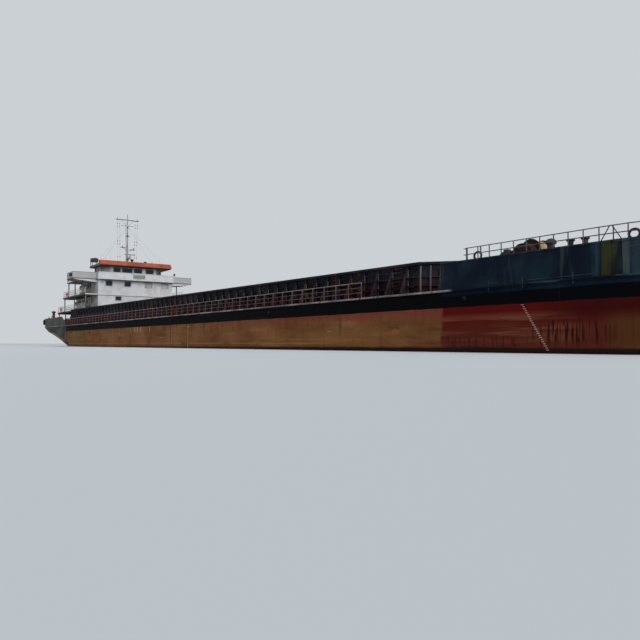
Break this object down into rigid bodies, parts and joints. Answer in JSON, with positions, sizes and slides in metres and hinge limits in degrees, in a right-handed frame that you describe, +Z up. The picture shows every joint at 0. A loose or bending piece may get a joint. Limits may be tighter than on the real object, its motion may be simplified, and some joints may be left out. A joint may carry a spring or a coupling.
{
  "type": "self-propelled hopper barge, 1:10 scale model",
  "caption": "Long low hopper barge with a stayed coaming round one hold, raised forecastle with anchor gear, stern house with a bridge, twin screws and rudders.",
  "frame": {"origin": "middle of the flat bottom, half way along and across the ship", "axes": "+X towards the bow, +Y to port, +Z up"},
  "size_m": [11.8, 2, 2.476],
  "materials": {
    "hull_paint": "worn matt bottom paint with rust",
    "coaming_paint": "worn semi-matt",
    "rail_paint": "semi-gloss with rust",
    "blue_paint": "semi-gloss",
    "rusty_steel": "rusty",
    "dark_paint": "worn semi-gloss",
    "grey_green_paint": "worn semi-matt",
    "white_paint": "semi-gloss with rust streaks",
    "deck_paint": "matt, worn",
    "orange_paint": "faded semi-matt",
    "engine_iron": "painted casting",
    "bronze": "cast and polished"
  },
  "bodies": {
    "ship": {"double_bottom": "hull_paint", "side_tank_starboard": "hull_paint", "side_tank_port": "hull_paint", "hull_bow": "hull_paint", "hull_stern": "hull_paint", "coaming_starboard": "coaming_paint", "coaming_port": "coaming_paint", "coaming_fore": "coaming_paint", "coaming_aft": "coaming_paint", "guard_rail_starboard": "rail_paint", "guard_rail_port": "rail_paint", "forecastle": "blue_paint", "forecastle_rail": "rail_paint", "windlass_frame_starboard": "rusty_steel", "windlass_frame_port": "rusty_steel", "bollards_fore_starboard": "dark_paint", "bollards_fore_port": "dark_paint", "bollards_aft_starboard": "dark_paint", "bollards_aft_port": "dark_paint", "ventilator_fore_starboard": "dark_paint", "ventilator_fore_port": "dark_paint", "ventilator_aft": "rusty_steel", "hatch_fore": "dark_paint", "hatch_aft": "dark_paint", "anchor_starboard": "dark_paint", "anchor_port": "dark_paint", "stern_bulwark": "grey_green_paint", "house_storey_1": "white_paint", "house_storey_2": "white_paint", "house_storey_3": "white_paint", "deck_2": "deck_paint", "deck_3": "deck_paint", "bridge_deck": "deck_paint", "bridge_bulwark": "white_paint", "wheelhouse": "white_paint", "roof": "white_paint", "roof_visor": "orange_paint", "roof_locker": "dark_paint", "mast": "rail_paint", "rail_deck_2": "rail_paint", "rail_deck_3": "rail_paint", "stairs_lower": "rail_paint", "stairs_middle": "rail_paint", "funnel_starboard": "white_paint", "funnel_port": "white_paint", "engine_starboard": "engine_iron", "engine_port": "engine_iron"},
    "windlass_drum_starboard": {"windlass_drum_starboard": "rusty_steel"},
    "windlass_drum_port": {"windlass_drum_port": "rusty_steel"},
    "hatch_lid_fore": {"hatch_lid_fore": "dark_paint"},
    "hatch_lid_aft": {"hatch_lid_aft": "dark_paint"},
    "door_house_starboard": {"door_house_starboard": "white_paint"},
    "door_house_port": {"door_house_port": "white_paint"},
    "door_wheelhouse_starboard": {"door_wheelhouse_starboard": "white_paint"},
    "door_wheelhouse_port": {"door_wheelhouse_port": "white_paint"},
    "radar_scanner": {"radar_scanner": "white_paint"},
    "propeller_starboard": {"propeller_starboard": "bronze"},
    "propeller_port": {"propeller_port": "bronze"},
    "rudder_starboard": {"rudder_starboard": "hull_paint"},
    "rudder_port": {"rudder_port": "hull_paint"}
  },
  "joints": [
    {"name": "windlass_starboard_spin", "type": "hinge", "parent": "ship", "child": "windlass_drum_starboard", "pos_m": [4.63, -0.6, 0.7513], "axis": [0, 1, 0], "continuous": true},
    {"name": "windlass_port_spin", "type": "hinge", "parent": "ship", "child": "windlass_drum_port", "pos_m": [4.63, 0.6, 0.7513], "axis": [0, 1, 0], "continuous": true},
    {"name": "hatch_fore_lid", "type": "hinge", "parent": "ship", "child": "hatch_lid_fore", "pos_m": [4.9427, 0, 0.7043], "axis": [0, -1, 0], "range_deg": [0, 110]},
    {"name": "hatch_aft_lid", "type": "hinge", "parent": "ship", "child": "hatch_lid_aft", "pos_m": [-5.6773, 0.25, 0.5883], "axis": [0, -1, 0], "range_deg": [0, 110]},
    {"name": "door_house_starboard_hinge", "type": "hinge", "parent": "ship", "child": "door_house_starboard", "pos_m": [-4.42, -0.6273, 0.65], "axis": [0, 0, 1], "range_deg": [0, 100]},
    {"name": "door_house_port_hinge", "type": "hinge", "parent": "ship", "child": "door_house_port", "pos_m": [-4.42, 0.6273, 0.65], "axis": [0, 0, -1], "range_deg": [0, 100]},
    {"name": "door_wheelhouse_starboard_hinge", "type": "hinge", "parent": "ship", "child": "door_wheelhouse_starboard", "pos_m": [-3.9, -0.5373, 1.4], "axis": [0, 0, 1], "range_deg": [0, 100]},
    {"name": "door_wheelhouse_port_hinge", "type": "hinge", "parent": "ship", "child": "door_wheelhouse_port", "pos_m": [-3.9, 0.5373, 1.4], "axis": [0, 0, -1], "range_deg": [0, 100]},
    {"name": "radar_spin", "type": "hinge", "parent": "ship", "child": "radar_scanner", "pos_m": [-3.95, 0, 1.752], "axis": [0, 0, 1], "continuous": true},
    {"name": "propeller_starboard_spin", "type": "hinge", "parent": "ship", "child": "propeller_starboard", "pos_m": [-4.5, -0.42, 0.105], "axis": [1, 0, 0], "continuous": true},
    {"name": "propeller_port_spin", "type": "hinge", "parent": "ship", "child": "propeller_port", "pos_m": [-4.5, 0.42, 0.105], "axis": [1, 0, 0], "continuous": true},
    {"name": "rudder_starboard_turn", "type": "hinge", "parent": "ship", "child": "rudder_starboard", "pos_m": [-4.7, -0.42, 0.15], "axis": [0, 0, 1], "range_deg": [-35, 35]},
    {"name": "rudder_port_turn", "type": "hinge", "parent": "ship", "child": "rudder_port", "pos_m": [-4.7, 0.42, 0.15], "axis": [0, 0, 1], "range_deg": [-35, 35]}
  ],
  "couplings": [
    {"joint": "rudder_port_turn", "follows": "rudder_starboard_turn", "ratio": 1}
  ]
}
